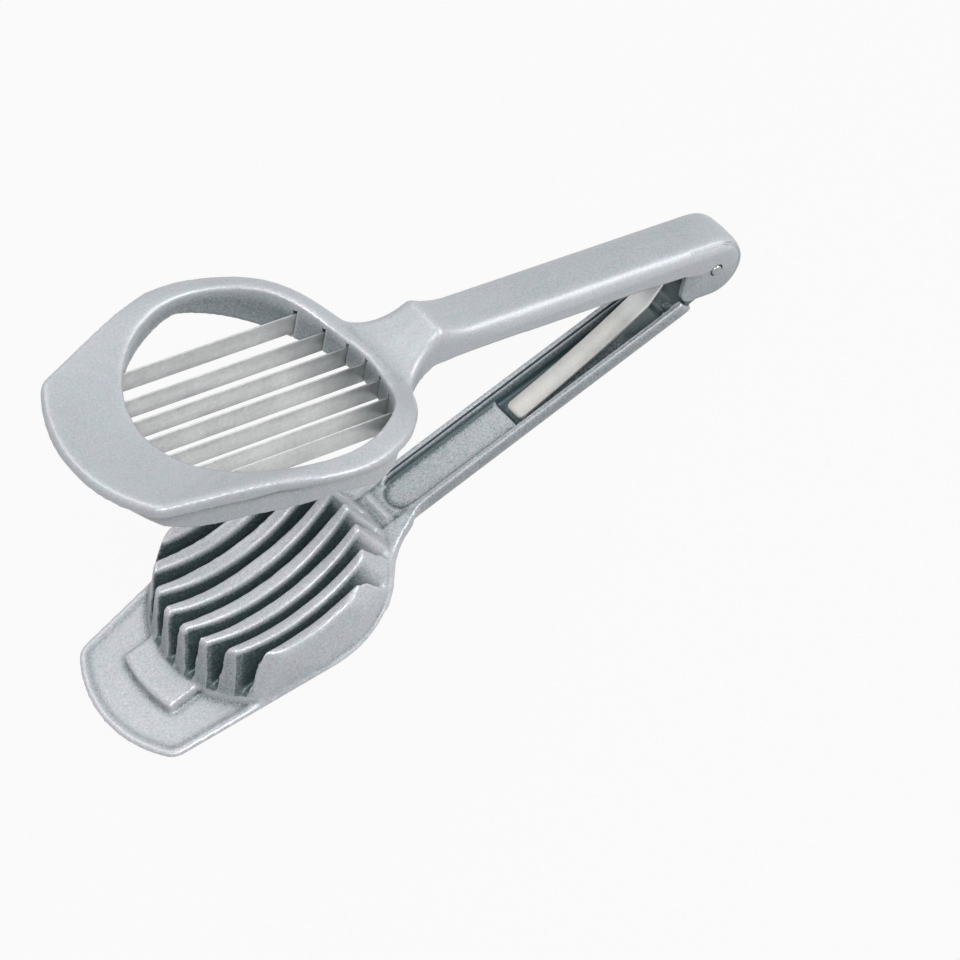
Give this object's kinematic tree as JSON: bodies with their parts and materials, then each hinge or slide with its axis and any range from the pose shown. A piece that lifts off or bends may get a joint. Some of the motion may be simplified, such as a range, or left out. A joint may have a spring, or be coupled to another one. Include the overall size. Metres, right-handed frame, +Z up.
{
  "type": "egg slicer",
  "caption": "Pliers-type egg slicer: a ring strung with parallel steel blades hinged over a slotted, dished cradle, held open by a leaf spring.",
  "frame": {"origin": "middle of the slotted cradle, on the flat underside that the tool lies on", "axes": "+X along the arms towards the hinge, +Z up out of the underside, +Y across to make a right-handed frame"},
  "size_m": [0.1929, 0.0738, 0.0914],
  "materials": {
    "cast_aluminium": "fine blasted casting",
    "blade_steel": "satin",
    "spring_steel": "satin",
    "pin_steel": "bright"
  },
  "bodies": {
    "base": {"base_casting": "cast_aluminium"},
    "lid": {"lid_casting": "cast_aluminium", "blade_1": "blade_steel", "blade_2": "blade_steel", "blade_3": "blade_steel", "blade_4": "blade_steel", "blade_5": "blade_steel", "blade_6": "blade_steel", "blade_7": "blade_steel", "hinge_pin": "pin_steel"},
    "spring": {"leaf_spring": "spring_steel"}
  },
  "joints": [
    {"name": "lid_hinge", "type": "hinge", "parent": "base", "child": "lid", "pos_m": [0.133, 0, 0.0081], "axis": [0, 1, 0], "range_deg": [-25.6, 0], "stiffness_Nm_per_rad": 0.6, "springref_deg": 18.91},
    {"name": "spring_flex", "type": "hinge", "parent": "base", "child": "spring", "pos_m": [0.073, 0, 0.002], "axis": [0, 1, 0], "range_deg": [0, 6.6]}
  ],
  "couplings": [
    {"joint": "spring_flex", "follows": "lid_hinge", "ratio": -0.255}
  ]
}
